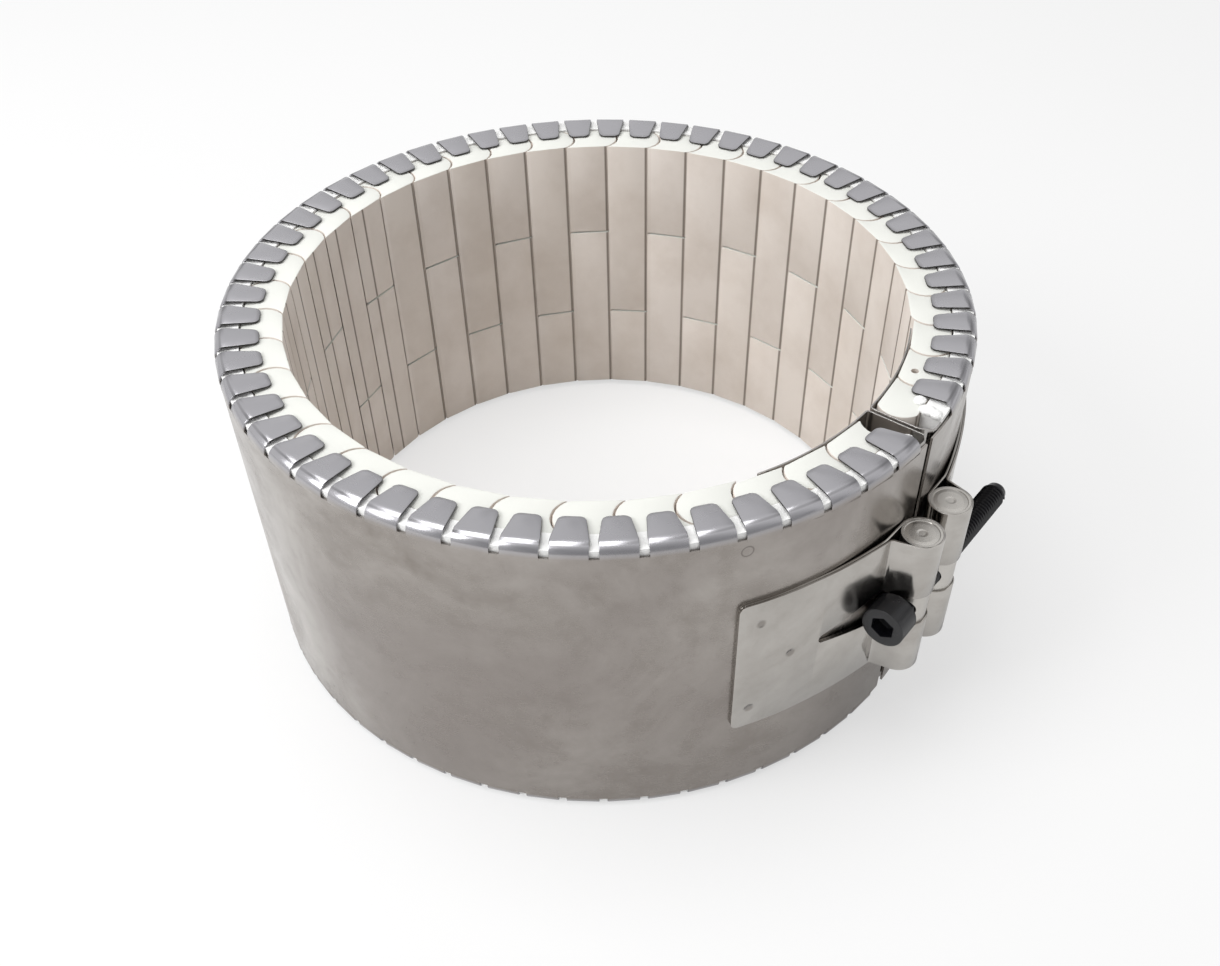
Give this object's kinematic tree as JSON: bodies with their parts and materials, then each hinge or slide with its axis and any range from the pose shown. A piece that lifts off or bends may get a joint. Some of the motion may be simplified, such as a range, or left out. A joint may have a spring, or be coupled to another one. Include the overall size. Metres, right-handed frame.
{
  "type": "band heater",
  "caption": "Steel band heater with tabs folded over both rims and a lining of interlocking ceramic tiles, closed by doubled straps, cross pins and a clamp screw.",
  "frame": {"origin": "on the axis of the bore, half way along the band's width", "axes": "+Z along the bore towards the rim seen from above, +X from the bore axis to the gap in the band, +Y along the clamp screw from its head to its threaded end"},
  "size_m": [0.2064, 0.1748, 0.083],
  "materials": {
    "sheath_steel": "satin stainless sheet, folded and spot welded",
    "barrel_steel": "turned steel",
    "screw_steel": "black oxide",
    "terminal_steel": "plain stainless",
    "ceramic": "unglazed steatite, matt",
    "bush_ceramic": "glazed ceramic",
    "fibre": "soft white ceramic fibre"
  },
  "bodies": {
    "band": {"outer_sheath": "sheath_steel", "insulation_blanket": "fibre", "tile_column_01": "ceramic", "tile_column_02": "ceramic", "tile_column_03": "ceramic", "tile_column_04": "ceramic", "tile_column_05": "ceramic", "tile_column_06": "ceramic", "tile_column_07": "ceramic", "tile_column_08": "ceramic", "tile_column_09": "ceramic", "tile_column_10": "ceramic", "tile_column_11": "ceramic", "tile_column_12": "ceramic", "tile_column_13": "ceramic", "tile_column_14": "ceramic", "tile_column_15": "ceramic", "tile_column_16": "ceramic", "tile_column_17": "ceramic", "tile_column_18": "ceramic", "tile_column_19": "ceramic", "tile_column_20": "ceramic", "tile_column_21": "ceramic", "tile_column_22": "ceramic", "tile_column_23": "ceramic", "tile_column_24": "ceramic", "tile_column_25": "ceramic", "tile_column_26": "ceramic", "tile_column_27": "ceramic", "tile_column_28": "ceramic", "tile_column_29": "ceramic", "tile_column_30": "ceramic", "tile_column_31": "ceramic", "tile_column_32": "ceramic", "tile_column_33": "ceramic", "tile_column_34": "ceramic", "tile_column_35": "ceramic", "tile_column_36": "ceramic", "tile_column_37": "ceramic", "tile_column_38": "ceramic", "tile_column_39": "ceramic", "tile_column_40": "ceramic", "end_channel_far": "sheath_steel", "end_channel_near": "sheath_steel", "strap_far": "sheath_steel", "strap_near": "sheath_steel", "barrel_far": "barrel_steel", "barrel_near": "barrel_steel", "terminal_bush_a": "bush_ceramic", "terminal_bush_b": "bush_ceramic", "terminal_stud_a": "terminal_steel", "terminal_stud_b": "terminal_steel"},
    "clamp_screw": {"clamp_screw": "screw_steel"}
  },
  "joints": [
    {"name": "clamp_screw_turn", "type": "hinge", "parent": "band", "child": "clamp_screw", "pos_m": [0.0923, 0, 0.0012], "axis": [0, 1, 0], "continuous": true}
  ]
}
